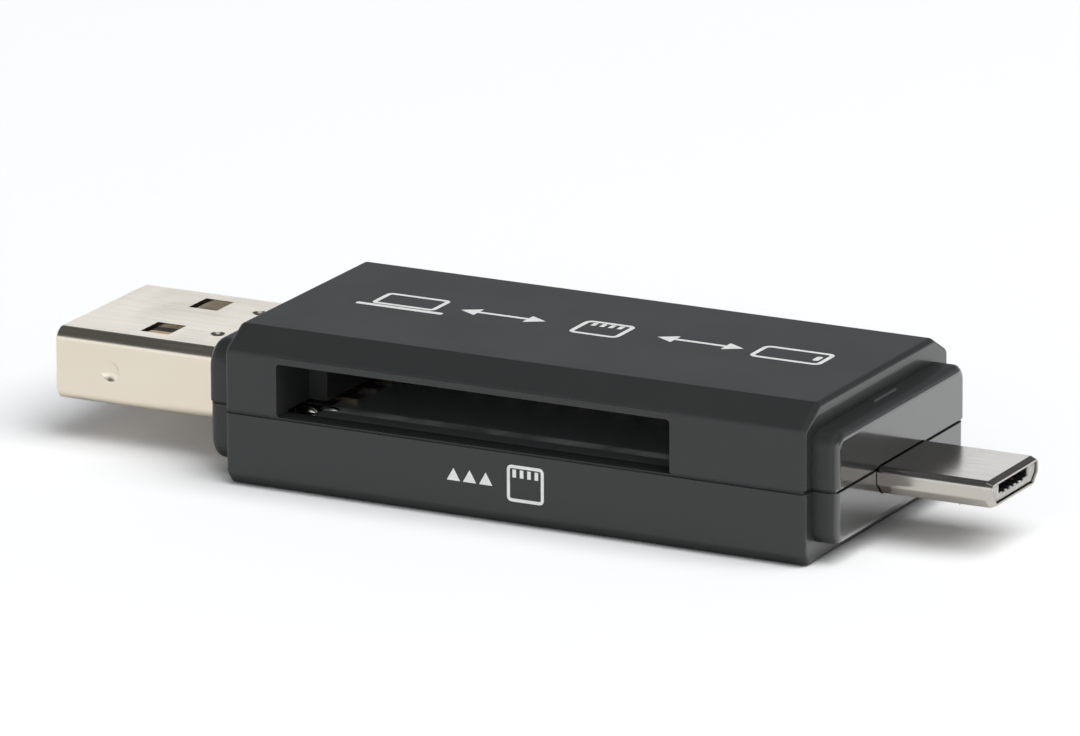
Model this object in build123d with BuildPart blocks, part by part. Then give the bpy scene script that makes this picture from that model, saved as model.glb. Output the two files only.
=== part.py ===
"""USB memory card reader: two-piece moulded housing, USB-A and micro-USB plugs, SD and small-card sockets.

Millimetres. The origin is the middle of the housing's underside, +X points to the micro-USB plug,
-Y is the side with the SD slot and +Z is up.
"""

import os

from build123d import *

# Housing: outside
body_length = 39.4
body_width = 19.9
parting_height = 4.7
roof = 1.7
facet_run = 2.08
facet_drop = 1.2
foot_run = 0.6
foot_rise = 0.8
edge_round = 0.45
end_round = 0.36
reveal_depth = 0.15
reveal_height = 0.13

# Housing: inside
wall = 1.5
floor_wall = 1.25
roof_wall = 1.5
fit_gap = 0.08
pin_diameter = 1.0
pin_depth = 1.6
pin_fit = 0.06
boss_diameter = 1.9
boss_inset = 0.3
board_ledge = 1.3
ledge_width = 1.4
ledge_from_board_end = 1.0
hold_down_width = 1.2
hold_down_inset = 1.4

# Collars that carry the caps
collar_edge = 0.55
collar_step = 0.06
collar_a_length = 2.0
collar_a_width = 17.0
collar_a_height = 7.7
collar_a_corner = 1.6
collar_a_drop = 0.12
collar_m_length = 1.65
collar_m_width = 17.9
collar_m_height = 7.1
collar_m_corner = 1.0
detent_length = 3.2
detent_width = 0.7
detent_rise = 0.12
detent_slope = 30
detent_overlap = 0.1

# SD slot and the card it takes
slot_width = 26.8
slot_height = 3.4
slot_from_end = 3.61
slot_corner = 0.25
slot_hood = 0.42
card_width = 24.0
card_thickness = 2.1
card_gap = 0.15
rail_thickness = 0.85
rail_setback = 4.2
rail_lift = 0.15
rib_thickness = 0.8
rib_setback = 5.0
rib_spacing = 8.0

# SD contacts and their holder
sd_pitch = 2.5
sd_last_pitch = 1.7
sd_count = 9
sd_contact_width = 1.1
sd_contact_sheet = 0.2
sd_holder_depth = 2.2
sd_holder_height = 2.35
sd_holder_overhang = 1.3
sd_holder_from_wall = 1.35
sd_tail = 0.6
sd_arm = 2.9
sd_bump_lift = 0.75
sd_tip_run = 1.0
sd_bend = 0.5

# Circuit board
board_thickness = 0.6
board_drop = 0.25
board_side_gap = 0.6
board_corner = 0.4
leg_gap = 0.12

# USB-A plug
plug_a_width = 12.0
plug_a_height = 4.6
plug_a_lift = 0.15
plug_a_sheet = 0.3
plug_a_inner_bend = 0.5
plug_a_reach = 12.2
plug_a_inside = 2.1
plug_a_lip = 0.12
plug_a_seam = 0.1
window_length = 2.0
window_width = 2.25
window_pitch = 6.1
window_from_tip = 6.05
dimple_depth = 0.2
side_dimple_diameter = 1.3
side_dimple_from_tip = 3.9
root_dimple_diameter = 1.0
root_dimple_pitch = 5.35
root_dimple_from_tip = 9.7
tongue_a_setback = 0.4
tongue_a_length = 10.6
tongue_a_groove = 0.16
insulator_a_tail = 2.8
insulator_a_tail_width = 10.4
contact_a_width = 1.0
contact_a_sheet = 0.2
contact_a_setback = 1.1
contact_a_stagger = 1.0
contact_a_inner_pitch = 2.0
contact_a_outer_pitch = 7.0
contact_a_tail = 1.1
leg_a_length = 3.4
leg_height = 1.1

# Micro-USB plug
plug_m_width = 6.85
plug_m_height = 1.8
plug_m_sheet = 0.3
plug_m_bevel = 0.75
plug_m_bend = 0.45
plug_m_drop = 0.77
plug_m_reach = 7.5
plug_m_inside = 2.8
plug_m_lip = 0.18
plug_m_lip_run = 0.4
tongue_m_setback = 0.15
tongue_m_groove = 0.12
pocket_m_width = 4.1
pocket_m_length = 6.4
insulator_m_tail = 0.7
contact_m_width = 0.4
contact_m_sheet = 0.15
contact_m_pitch = 0.65
contact_m_count = 5
contact_m_setback = 0.7
contact_m_stagger = 0.5
contact_m_tail = 1.5
leg_m_length = 1.9
latch_pitch = 3.6
latch_width = 0.6
latch_sheet = 0.2
latch_from_tip = 2.0
latch_length = 3.6
latch_hook = 0.25
latch_hook_run = 0.7
latch_gap = 0.06

# Small-card socket under the board
msd_width = 14.0
msd_mouth_gap = 0.15
msd_back_room = 2.4
msd_base_thickness = 0.5
msd_card_space = 1.15
msd_card_width = 11.0
msd_card_gap = 0.15
msd_sheet = 0.2
msd_back_wall = 1.0
msd_scoop_width = 8.0
msd_scoop_depth = 2.4
msd_slot_gap = 0.1
msd_lead_in = 0.3
msd_pitch = 1.1
msd_count = 8
msd_contact_width = 0.6
msd_contact_sheet = 0.15
msd_contact_tail = 0.7
msd_arm = 3.2
msd_bump_drop = 0.4
msd_tip_run = 0.8
msd_flat = 0.3
msd_window_gap = 0.12

# Chip and small soldered parts
chip_length = 4.9
chip_width = 3.9
chip_height = 1.4
chip_standoff = 0.1
chip_from_board_end = 5.8
chip_gap = 1.3
chip_leads = 8
chip_lead_pitch = 0.6
chip_lead_width = 0.3
chip_lead_span = 6.0
chip_lead_sheet = 0.2
passive_length = 1.6
passive_width = 0.8
passive_height = 0.6
passive_cap = 0.35
passive_cap_lip = 0.03
capacitor_pitch = 2.4
capacitor_gap = 0.3
resistor_count = 3
resistor_pitch = 1.8
resistor_from_board_end = 1.6

# Heights and places that follow from these
body_height = parting_height + slot_height + roof
half_length = body_length / 2
half_width = body_width / 2
inner_half_length = half_length - wall
inner_half_width = half_width - wall
ceiling = body_height - roof_wall
slot_left = -half_length + slot_from_end
slot_middle = slot_left + slot_width / 2
slot_top = parting_height + slot_height
rail_length = inner_half_width + half_width - rail_setback
board_top = parting_height - board_drop
board_bottom = board_top - board_thickness
board_half_width = inner_half_width - board_side_gap
plug_a_bend = plug_a_inner_bend + plug_a_sheet
plug_a_axis = parting_height + plug_a_lift
plug_a_top = plug_a_axis + plug_a_height / 2
collar_a_axis = parting_height - collar_a_drop
plug_a_root = -half_length - collar_a_length
plug_a_tip = plug_a_root - plug_a_reach
plug_a_back = -half_length + plug_a_inside
board_left = plug_a_back + insulator_a_tail
plug_m_root = half_length + collar_m_length
plug_m_tip = plug_m_root + plug_m_reach
plug_m_back = half_length - plug_m_inside
board_right = plug_m_back - insulator_m_tail
plug_m_axis = parting_height - plug_m_drop
sd_holder_back = inner_half_width - sd_holder_from_wall
sd_holder_front = sd_holder_back - sd_holder_depth
chip_middle = board_left + chip_from_board_end
msd_middle = chip_middle + chip_lead_span / 2 + chip_gap + msd_sheet + msd_width / 2
msd_mouth = inner_half_width - msd_mouth_gap
msd_back = msd_back_room - inner_half_width
msd_depth = msd_mouth - msd_back
msd_base_bottom = board_bottom - msd_base_thickness
msd_card_bottom = msd_base_bottom - msd_card_space
pin_x = inner_half_length - boss_diameter / 2 + boss_inset
pin_y = inner_half_width - boss_diameter / 2 + boss_inset
pin_places = [(-pin_x, pin_y), (pin_x, -pin_y)]
leg_a_y = (plug_a_width - plug_a_sheet) / 2
leg_m_y = (plug_m_width - plug_m_sheet) / 2
leg_bottom = board_top - leg_height

os.makedirs("parts", exist_ok=True)


def finish(piece, name):
    """Label a finished piece and write it as its own file."""
    piece.label = name
    export_step(piece, f"parts/{name}.step")


def micro_section(grow, bend):
    """Section of the micro-USB plug about its axis, wide side up, grown all round and then bent."""
    half = plug_m_width / 2
    top = plug_m_height / 2
    with BuildSketch() as section:
        with BuildLine():
            Polyline(
                (-half, top),
                (half, top),
                (half, plug_m_bevel - top),
                (half - plug_m_bevel, -top),
                (plug_m_bevel - half, -top),
                (-half, plug_m_bevel - top),
                close=True,
            )
        make_face()
        if grow:
            offset(amount=grow, kind=Kind.INTERSECTION, mode=Mode.REPLACE)
        if bend:
            fillet(section.vertices(), bend)
    return section.sketch


def housing_form(collar_inset):
    """Solid outside form of the housing, with its collars drawn in by collar_inset."""
    collars = (
        (-1, collar_a_axis, collar_a_length, collar_a_width, collar_a_height, collar_a_corner),
        (1, parting_height, collar_m_length, collar_m_width, collar_m_height, collar_m_corner),
    )
    with BuildPart() as form:
        with BuildSketch(Plane.YZ) as section:
            with BuildLine():
                Polyline(
                    (foot_run - half_width, 0),
                    (half_width - foot_run, 0),
                    (half_width, foot_rise),
                    (half_width, body_height - facet_drop),
                    (half_width - facet_run, body_height),
                    (facet_run - half_width, body_height),
                    (-half_width, body_height - facet_drop),
                    (-half_width, foot_rise),
                    close=True,
                )
            make_face()
            fillet(section.vertices(), edge_round)
        extrude(amount=half_length, both=True)
        fillet(form.faces().filter_by(Axis.X).edges(), end_round)
        for side, axis, length, width, height, corner in collars:
            with BuildSketch(Plane.YZ.offset(side * (half_length - wall))):
                with Locations((0, axis)):
                    RectangleRounded(width - 2 * collar_inset, height - 2 * collar_inset, corner)
            extrude(amount=side * (length + wall - collar_inset))
            ends = form.faces().filter_by(Axis.X).sort_by(Axis.X)
            fillet(ends[-1 if side > 0 else 0].edges(), collar_edge)
    return form.part


def plug_passages():
    """Space that the two plug shells take through the end walls and collars."""
    with BuildPart() as space:
        with BuildSketch(Plane.YZ.offset(plug_a_root)):
            with Locations((0, plug_a_axis)):
                RectangleRounded(
                    plug_a_width + 2 * fit_gap, plug_a_height + 2 * fit_gap, plug_a_bend + fit_gap
                )
        extrude(amount=collar_a_length + wall)
        with BuildSketch(Plane.YZ.offset(inner_half_length)):
            with Locations((0, plug_m_axis)):
                add(micro_section(fit_gap, plug_m_bend + fit_gap))
        extrude(amount=collar_m_length + wall)
    return space.part


def punch_radius(diameter):
    """Radius of the round punch that presses a dimple of this diameter to dimple_depth."""
    return (diameter**2 / 4 + dimple_depth**2) / (2 * dimple_depth)


def reveal_ring(height, collar_inset):
    """Shallow groove round the outside, on one side of the parting plane."""
    with BuildPart() as ring:
        with BuildSketch(Plane.XY.offset(parting_height)):
            Rectangle(body_length, body_width)
            with Locations((plug_a_root / 2 + collar_inset / 2, 0)):
                Rectangle(-plug_a_root - collar_inset, collar_a_width - 2 * collar_inset)
            with Locations((plug_m_root / 2 - collar_inset / 2, 0)):
                Rectangle(plug_m_root - collar_inset, collar_m_width - 2 * collar_inset)
            offset(amount=-reveal_depth, kind=Kind.INTERSECTION, mode=Mode.SUBTRACT)
        extrude(amount=height)
    return ring.part


# Roof half: facets, SD slot, card rails and ribs, alignment pins
with BuildPart() as upper_housing:
    add(housing_form(0))
    split(bisect_by=Plane.XY.offset(parting_height), keep=Keep.TOP)
    with BuildSketch(Plane.XY.offset(parting_height)):
        Rectangle(2 * inner_half_length, 2 * inner_half_width)
    extrude(amount=ceiling - parting_height, mode=Mode.SUBTRACT)
    add(plug_passages(), mode=Mode.SUBTRACT)
    with BuildSketch(Plane.XZ.offset(inner_half_width)) as mouth:
        with Locations((slot_middle, parting_height)):
            Rectangle(slot_width, slot_height, align=(Align.CENTER, Align.MIN))
        fillet(mouth.vertices().group_by(Axis.Y)[-1], slot_corner)
    extrude(amount=wall, mode=Mode.SUBTRACT)
    with BuildSketch(Plane.YZ.offset(slot_left)):
        with BuildLine():
            Polyline(
                (-half_width, slot_top),
                (-half_width, slot_top + slot_hood),
                (slot_hood - half_width, slot_top),
                close=True,
            )
        make_face()
    extrude(amount=slot_width, mode=Mode.SUBTRACT)
    with BuildSketch(Plane.XY.offset(parting_height + rail_lift)):
        with Locations((slot_middle, 0)):
            Rectangle(slot_width + 2 * rail_thickness, 2 * inner_half_width)
            Rectangle(slot_width, 2 * inner_half_width, mode=Mode.SUBTRACT)
        with Locations((slot_middle, inner_half_width)):
            Rectangle(slot_width, rail_length, align=(Align.CENTER, Align.MAX))
            Rectangle(
                card_width + 2 * card_gap, rail_length, align=(Align.CENTER, Align.MAX), mode=Mode.SUBTRACT
            )
    extrude(amount=ceiling - parting_height - rail_lift)
    with BuildSketch(Plane.XY.offset(parting_height + card_thickness + card_gap)):
        with Locations((slot_middle, (rib_setback - half_width + sd_holder_front) / 2)):
            with GridLocations(rib_spacing, 0, 3, 1):
                Rectangle(rib_thickness, sd_holder_front + half_width - rib_setback)
    extrude(amount=ceiling - parting_height - card_thickness - card_gap)
    with BuildSketch(Plane.XY.offset(ceiling)):
        with Locations(*pin_places):
            Circle(boss_diameter / 2)
    extrude(amount=parting_height - ceiling)
    with BuildSketch(Plane.XY.offset(parting_height)):
        with Locations(*pin_places):
            Circle(pin_diameter / 2)
    extrude(amount=-pin_depth)
    with BuildSketch(Plane.XY.offset(board_top)):
        with Locations((board_right - hold_down_inset, 0)):
            with GridLocations(0, 2 * (board_half_width - hold_down_inset), 1, 2):
                Rectangle(hold_down_width, hold_down_width)
    extrude(amount=ceiling - board_top)
    add(reveal_ring(reveal_height, 0), mode=Mode.SUBTRACT)
    detent_x = half_length + detent_width / 2 - detent_overlap
    collar_tops = ((-1, collar_a_axis + collar_a_height / 2), (1, parting_height + collar_m_height / 2))
    for side, collar_top in collar_tops:
        with BuildSketch(Plane.XY.offset(collar_top - detent_overlap)):
            with Locations((side * detent_x, 0)):
                Rectangle(detent_width, detent_length)
        extrude(amount=detent_overlap + detent_rise, taper=detent_slope)
finish(upper_housing.part, "upper_housing")


# Floor half: board ledges, bosses for the pins, small-card slot at the back
with BuildPart() as lower_housing:
    add(housing_form(collar_step))
    split(bisect_by=Plane.XY.offset(parting_height), keep=Keep.BOTTOM)
    with BuildSketch(Plane.XY.offset(floor_wall)):
        Rectangle(2 * inner_half_length, 2 * inner_half_width)
    extrude(amount=parting_height - floor_wall, mode=Mode.SUBTRACT)
    add(plug_passages(), mode=Mode.SUBTRACT)
    with BuildSketch(Plane.XY.offset(floor_wall)):
        with Locations(*pin_places):
            Circle(boss_diameter / 2)
    extrude(amount=parting_height - floor_wall)
    with BuildSketch(Plane.XY.offset(parting_height)):
        with Locations(*pin_places):
            Circle(pin_diameter / 2 + pin_fit)
    extrude(amount=-pin_depth - pin_fit, mode=Mode.SUBTRACT)
    ledge_spacing = board_right - board_left - 2 * ledge_from_board_end
    with BuildSketch(Plane.XY.offset(floor_wall)):
        with Locations(((board_left + board_right) / 2, 0)):
            with GridLocations(ledge_spacing, 2 * inner_half_width - board_ledge, 2, 2):
                Rectangle(ledge_width, board_ledge)
    extrude(amount=board_bottom - floor_wall)
    with BuildSketch(Plane.XZ.offset(-inner_half_width)):
        with Locations((msd_middle, msd_card_bottom - msd_slot_gap)):
            Rectangle(
                msd_card_width + 2 * msd_card_gap + 2 * msd_slot_gap,
                msd_card_space + 2 * msd_slot_gap,
                align=(Align.CENTER, Align.MIN),
            )
    extrude(amount=-wall, mode=Mode.SUBTRACT)
    back_mouth = lower_housing.edges().filter_by_position(Axis.Y, half_width, half_width)
    back_mouth = back_mouth.filter_by_position(Axis.Z, foot_rise + edge_round, parting_height - reveal_height)
    chamfer(back_mouth, msd_lead_in)
    add(reveal_ring(-reveal_height, collar_step), mode=Mode.SUBTRACT)
finish(lower_housing.part, "lower_housing")


# USB-A plug: folded shell with latch windows, pressed dimples, a seam below and two legs
with BuildPart() as usb_a_shell:
    with BuildSketch(Plane.YZ.offset(plug_a_tip)):
        with Locations((0, plug_a_axis)):
            RectangleRounded(plug_a_width, plug_a_height, plug_a_bend)
            RectangleRounded(
                plug_a_width - 2 * plug_a_sheet,
                plug_a_height - 2 * plug_a_sheet,
                plug_a_inner_bend,
                mode=Mode.SUBTRACT,
            )
    extrude(amount=plug_a_back - plug_a_tip)
    chamfer(usb_a_shell.faces().sort_by(Axis.X)[0].outer_wire().edges(), plug_a_lip)
    with BuildSketch(Plane.XY.offset(plug_a_axis)):
        with Locations((plug_a_tip + window_from_tip, 0)):
            with GridLocations(0, window_pitch, 1, 2):
                Rectangle(window_length, window_width)
    extrude(amount=plug_a_height, both=True, mode=Mode.SUBTRACT)
    root_ball = punch_radius(root_dimple_diameter)
    side_ball = punch_radius(side_dimple_diameter)
    root_x = plug_a_tip + root_dimple_from_tip
    side_x = plug_a_tip + side_dimple_from_tip
    for side in (-1, 1):
        with Locations((root_x, side * root_dimple_pitch / 2, plug_a_top - dimple_depth + root_ball)):
            Sphere(root_ball, rotation=(90, 0, 0), mode=Mode.SUBTRACT)
        with Locations((side_x, side * (plug_a_width / 2 - dimple_depth + side_ball), plug_a_axis)):
            Sphere(side_ball, mode=Mode.SUBTRACT)
    with BuildSketch(Plane.XY.offset(plug_a_axis)):
        with Locations(((plug_a_tip + plug_a_back) / 2, 0)):
            Rectangle(plug_a_back - plug_a_tip, plug_a_seam)
    extrude(amount=-plug_a_height, mode=Mode.SUBTRACT)
    with BuildSketch(Plane.XY.offset(leg_bottom)):
        with Locations((plug_a_back, 0)):
            with GridLocations(0, 2 * leg_a_y, 1, 2):
                Rectangle(leg_a_length, plug_a_sheet, align=(Align.MIN, Align.CENTER))
    extrude(amount=leg_height)
finish(usb_a_shell.part, "usb_a_shell")


# USB-A tongue, with a block at its root that fills the shell and a tail that meets the board
contact_a_bottom = board_top
contact_a_pitches = (contact_a_outer_pitch, contact_a_inner_pitch)
contact_a_places = [side * pitch / 2 for pitch in contact_a_pitches for side in (-1, 1)]
tongue_a_front = plug_a_tip + tongue_a_setback
tongue_a_floor = plug_a_axis - plug_a_height / 2 + plug_a_sheet
with BuildPart() as usb_a_insulator:
    with BuildSketch(Plane.YZ.offset(tongue_a_front + tongue_a_length)) as block:
        with Locations((0, plug_a_axis)):
            Rectangle(plug_a_width - 2 * plug_a_sheet - 2 * fit_gap, plug_a_height - 2 * plug_a_sheet)
        chamfer(block.vertices(), plug_a_inner_bend)
    extrude(amount=plug_a_back - tongue_a_front - tongue_a_length)
    with BuildSketch(Plane.YZ.offset(tongue_a_front)):
        with Locations((0, tongue_a_floor)):
            Rectangle(
                plug_a_width - 2 * plug_a_bend,
                contact_a_bottom + tongue_a_groove - tongue_a_floor,
                align=(Align.CENTER, Align.MIN),
            )
    extrude(amount=tongue_a_length)
    with BuildSketch(Plane.YZ.offset(plug_a_back)):
        with Locations((0, contact_a_bottom)):
            Rectangle(
                insulator_a_tail_width, contact_a_bottom - tongue_a_floor, align=(Align.CENTER, Align.MAX)
            )
    extrude(amount=insulator_a_tail)
    with BuildSketch(Plane.YZ.offset(tongue_a_front)):
        with Locations(*[(y, contact_a_bottom) for y in contact_a_places]):
            Rectangle(contact_a_width, contact_a_sheet, align=(Align.CENTER, Align.MIN))
    extrude(amount=board_left - tongue_a_front, mode=Mode.SUBTRACT)
finish(usb_a_insulator.part, "usb_a_insulator")


for index, place in enumerate(sorted(contact_a_places)):
    outer = index in (0, len(contact_a_places) - 1)
    contact_front = plug_a_tip + contact_a_setback + (0 if outer else contact_a_stagger)
    with BuildPart() as usb_a_contact:
        with BuildSketch(Plane.XY.offset(contact_a_bottom)) as blade:
            with Locations((contact_front, place)):
                Rectangle(
                    board_left + contact_a_tail - contact_front,
                    contact_a_width,
                    align=(Align.MIN, Align.CENTER),
                )
            chamfer(blade.vertices().group_by(Axis.X)[0], contact_a_width / 4)
        extrude(amount=contact_a_sheet)
    finish(usb_a_contact.part, f"usb_a_contact_{index + 1}")


# Micro-USB plug: folded shell, wide side up, with two latch windows below and two legs
latch_places = [-latch_pitch / 2, latch_pitch / 2]
latch_front = plug_m_tip - latch_from_tip
latch_floor = plug_m_axis - plug_m_height / 2 + plug_m_sheet
with BuildPart() as micro_usb_shell:
    with BuildSketch(Plane.YZ.offset(plug_m_back)):
        with Locations((0, plug_m_axis)):
            add(micro_section(0, plug_m_bend))
            add(micro_section(-plug_m_sheet, plug_m_bend - plug_m_sheet), mode=Mode.SUBTRACT)
    extrude(amount=plug_m_tip - plug_m_back)
    mouth_face = micro_usb_shell.faces().sort_by(Axis.X)[-1]
    chamfer(mouth_face.outer_wire().edges(), plug_m_lip, plug_m_lip_run, reference=mouth_face)
    with BuildSketch(Plane.XY.offset(latch_floor)):
        with Locations(*[(latch_front + latch_gap, y) for y in latch_places]):
            Rectangle(
                latch_hook_run + 2 * latch_gap, latch_width + 2 * latch_gap, align=(Align.MAX, Align.CENTER)
            )
    extrude(amount=-plug_m_sheet, mode=Mode.SUBTRACT)
    with BuildSketch(Plane.XY.offset(leg_bottom)):
        with Locations((plug_m_back, 0)):
            with GridLocations(0, 2 * leg_m_y, 1, 2):
                Rectangle(leg_m_length, plug_m_sheet, align=(Align.MAX, Align.CENTER))
    extrude(amount=leg_height)
finish(micro_usb_shell.part, "micro_usb_shell")


# Micro-USB tongue: contacts lie on its top and run on under the board
contact_m_top = board_bottom
contact_m_bottom = contact_m_top - contact_m_sheet
contact_m_places = [(i - (contact_m_count - 1) / 2) * contact_m_pitch for i in range(contact_m_count)]
tongue_m_front = plug_m_tip - tongue_m_setback
tongue_m_top = contact_m_bottom + tongue_m_groove
with BuildPart() as micro_usb_insulator:
    with BuildSketch(Plane.YZ.offset(plug_m_back)):
        with Locations((0, plug_m_axis)):
            add(micro_section(-plug_m_sheet - fit_gap, 0))
    extrude(amount=tongue_m_front - plug_m_back)
    with BuildSketch(Plane.YZ.offset(tongue_m_front - pocket_m_length)):
        with Locations((0, tongue_m_top)):
            Rectangle(pocket_m_width, plug_m_height, align=(Align.CENTER, Align.MIN))
    extrude(amount=pocket_m_length, mode=Mode.SUBTRACT)
    with BuildSketch(Plane.YZ.offset(board_right)):
        with Locations((0, contact_m_bottom)):
            Rectangle(
                contact_m_pitch * contact_m_count,
                board_top - contact_m_bottom,
                align=(Align.CENTER, Align.MIN),
            )
    extrude(amount=insulator_m_tail)
    with BuildSketch(Plane.YZ.offset(board_right)):
        with Locations(*[(y, contact_m_bottom) for y in contact_m_places]):
            Rectangle(contact_m_width, contact_m_sheet, align=(Align.CENTER, Align.MIN))
    extrude(amount=tongue_m_front - board_right, mode=Mode.SUBTRACT)
    with BuildSketch(Plane.XY.offset(latch_floor)):
        with Locations(*[(latch_front + latch_gap, y) for y in latch_places]):
            Rectangle(
                latch_length + 2 * latch_gap, latch_width + 2 * latch_gap, align=(Align.MAX, Align.CENTER)
            )
    extrude(amount=latch_sheet, mode=Mode.SUBTRACT)
finish(micro_usb_insulator.part, "micro_usb_insulator")


for index, place in enumerate(contact_m_places):
    outer = index in (0, contact_m_count - 1)
    contact_front = plug_m_tip - contact_m_setback - (0 if outer else contact_m_stagger)
    with BuildPart() as micro_usb_contact:
        with BuildSketch(Plane.XY.offset(contact_m_bottom)) as blade:
            with Locations((contact_front, place)):
                Rectangle(
                    contact_front - board_right + contact_m_tail,
                    contact_m_width,
                    align=(Align.MAX, Align.CENTER),
                )
            chamfer(blade.vertices().group_by(Axis.X)[-1], contact_m_width / 4)
        extrude(amount=contact_m_sheet)
    finish(micro_usb_contact.part, f"micro_usb_contact_{index + 1}")


for index, place in enumerate(latch_places):
    with BuildPart() as micro_usb_latch:
        with BuildSketch(Plane.XZ.offset(-place - latch_width / 2)):
            with BuildLine():
                Polyline(
                    (latch_front, latch_floor + latch_sheet),
                    (latch_front - latch_length, latch_floor + latch_sheet),
                    (latch_front - latch_length, latch_floor),
                    (latch_front - latch_hook_run, latch_floor),
                    (latch_front - latch_hook_run, latch_floor - plug_m_sheet - latch_hook),
                    (latch_front, latch_floor),
                    close=True,
                )
            make_face()
        extrude(amount=latch_width)
    finish(micro_usb_latch.part, f"micro_usb_latch_{index + 1}")


# Circuit board, notched for the legs of both plug shells
with BuildPart() as circuit_board:
    with BuildSketch(Plane.XY.offset(board_bottom)) as outline:
        with Locations((board_left, 0)):
            Rectangle(board_right - board_left, 2 * board_half_width, align=(Align.MIN, Align.CENTER))
        chamfer(outline.vertices(), board_corner)
        with GridLocations(0, 2 * leg_a_y, 1, 2):
            with Locations((plug_a_back, 0)):
                Rectangle(
                    leg_a_length + leg_gap,
                    plug_a_sheet + 2 * leg_gap,
                    align=(Align.MIN, Align.CENTER),
                    mode=Mode.SUBTRACT,
                )
        with GridLocations(0, 2 * leg_m_y, 1, 2):
            with Locations((plug_m_back, 0)):
                Rectangle(
                    leg_m_length + leg_gap,
                    plug_m_sheet + 2 * leg_gap,
                    align=(Align.MAX, Align.CENTER),
                    mode=Mode.SUBTRACT,
                )
    extrude(amount=board_thickness)
finish(circuit_board.part, "circuit_board")


# SD contacts: flat tail on the board, arm that rises to a bump, tip that dips again
sd_span = (sd_count - 2) * sd_pitch + sd_last_pitch
sd_places = [slot_middle - sd_span / 2] + [
    slot_middle - sd_span / 2 + sd_last_pitch + i * sd_pitch for i in range(sd_count - 1)
]
sd_mid_height = board_top + sd_contact_sheet / 2
with BuildPart() as sd_contact_holder:
    with BuildSketch(Plane.XY.offset(board_top)):
        with Locations((slot_middle, sd_holder_front)):
            Rectangle(sd_span + 2 * sd_holder_overhang, sd_holder_depth, align=(Align.CENTER, Align.MIN))
    extrude(amount=sd_holder_height)
    chamfer(sd_contact_holder.faces().sort_by(Axis.Z)[-1].edges(), sd_contact_sheet)
    with BuildSketch(Plane.XY.offset(board_top)):
        with Locations(*[(x, sd_holder_front) for x in sd_places]):
            Rectangle(sd_contact_width, sd_holder_depth, align=(Align.CENTER, Align.MIN))
    extrude(amount=sd_contact_sheet, mode=Mode.SUBTRACT)
finish(sd_contact_holder.part, "sd_contact_holder")


for index, place in enumerate(sd_places):
    with BuildPart() as sd_contact:
        with BuildSketch(Plane.YZ.offset(place - sd_contact_width / 2)):
            with BuildLine():
                FilletPolyline(
                    (sd_holder_back + sd_tail, sd_mid_height),
                    (sd_holder_front - sd_bend, sd_mid_height),
                    (sd_holder_front - sd_arm, sd_mid_height + sd_bump_lift),
                    (sd_holder_front - sd_arm - sd_tip_run, sd_mid_height + sd_bump_lift / 3),
                    radius=sd_bend,
                )
            trace(line_width=sd_contact_sheet)
        extrude(amount=sd_contact_width)
    finish(sd_contact.part, f"sd_contact_{index + 1}")


# Small-card socket: base against the board, stamped cover below, springs that reach down to the card
msd_places = [msd_middle + (i - (msd_count - 1) / 2) * msd_pitch for i in range(msd_count)]
msd_window_front = msd_back + msd_back_wall + msd_arm + msd_tip_run + msd_window_gap
msd_side_wall = (msd_width - msd_card_width) / 2 - msd_card_gap
msd_height = msd_base_thickness + msd_card_space
with BuildPart() as micro_sd_base:
    with BuildSketch(Plane.XY.offset(msd_card_bottom)):
        with Locations((msd_middle, msd_back)):
            Rectangle(msd_width, msd_depth, align=(Align.CENTER, Align.MIN))
    extrude(amount=msd_height)
    with BuildSketch(Plane.XY.offset(msd_card_bottom)):
        with Locations((msd_middle, msd_back + msd_back_wall)):
            Rectangle(
                msd_width - 2 * msd_side_wall, msd_depth - msd_back_wall, align=(Align.CENTER, Align.MIN)
            )
    extrude(amount=msd_card_space, mode=Mode.SUBTRACT)
    with BuildSketch(Plane.XY.offset(msd_base_bottom)):
        with Locations(*[(x, msd_back + msd_back_wall) for x in msd_places]):
            Rectangle(
                msd_contact_width + 2 * msd_window_gap,
                msd_window_front - msd_back - msd_back_wall,
                align=(Align.CENTER, Align.MIN),
            )
    extrude(amount=msd_base_thickness, mode=Mode.SUBTRACT)
    with BuildSketch(Plane.XY.offset(board_bottom)):
        with Locations(*[(x, msd_back) for x in msd_places]):
            Rectangle(msd_contact_width, msd_back_wall, align=(Align.CENTER, Align.MIN))
    extrude(amount=-msd_contact_sheet, mode=Mode.SUBTRACT)
finish(micro_sd_base.part, "micro_sd_base")


with BuildPart() as micro_sd_shell:
    with BuildSketch(Plane.XZ.offset(-msd_mouth)):
        with Locations((msd_middle, board_bottom)):
            Rectangle(
                msd_width + 2 * msd_sheet, msd_height + msd_sheet, align=(Align.CENTER, Align.MAX)
            )
            Rectangle(msd_width, msd_height, align=(Align.CENTER, Align.MAX), mode=Mode.SUBTRACT)
    extrude(amount=msd_depth)
    with BuildSketch(Plane.XY.offset(msd_card_bottom)):
        with Locations((msd_middle, msd_mouth)):
            Rectangle(msd_scoop_width, 2 * msd_scoop_depth)
    extrude(amount=-msd_sheet, mode=Mode.SUBTRACT)
finish(micro_sd_shell.part, "micro_sd_shell")


msd_mid_height = board_bottom - msd_contact_sheet / 2
for index, place in enumerate(msd_places):
    with BuildPart() as micro_sd_contact:
        with BuildSketch(Plane.YZ.offset(place - msd_contact_width / 2)):
            with BuildLine():
                Polyline(
                    (msd_back - msd_contact_tail, msd_mid_height),
                    (msd_back + msd_back_wall + msd_flat, msd_mid_height),
                    (msd_back + msd_back_wall + msd_arm, msd_mid_height - msd_base_thickness - msd_bump_drop),
                    (msd_back + msd_back_wall + msd_arm + msd_tip_run, msd_mid_height - msd_base_thickness),
                )
            trace(line_width=msd_contact_sheet)
        extrude(amount=msd_contact_width)
    finish(micro_sd_contact.part, f"micro_sd_contact_{index + 1}")


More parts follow.
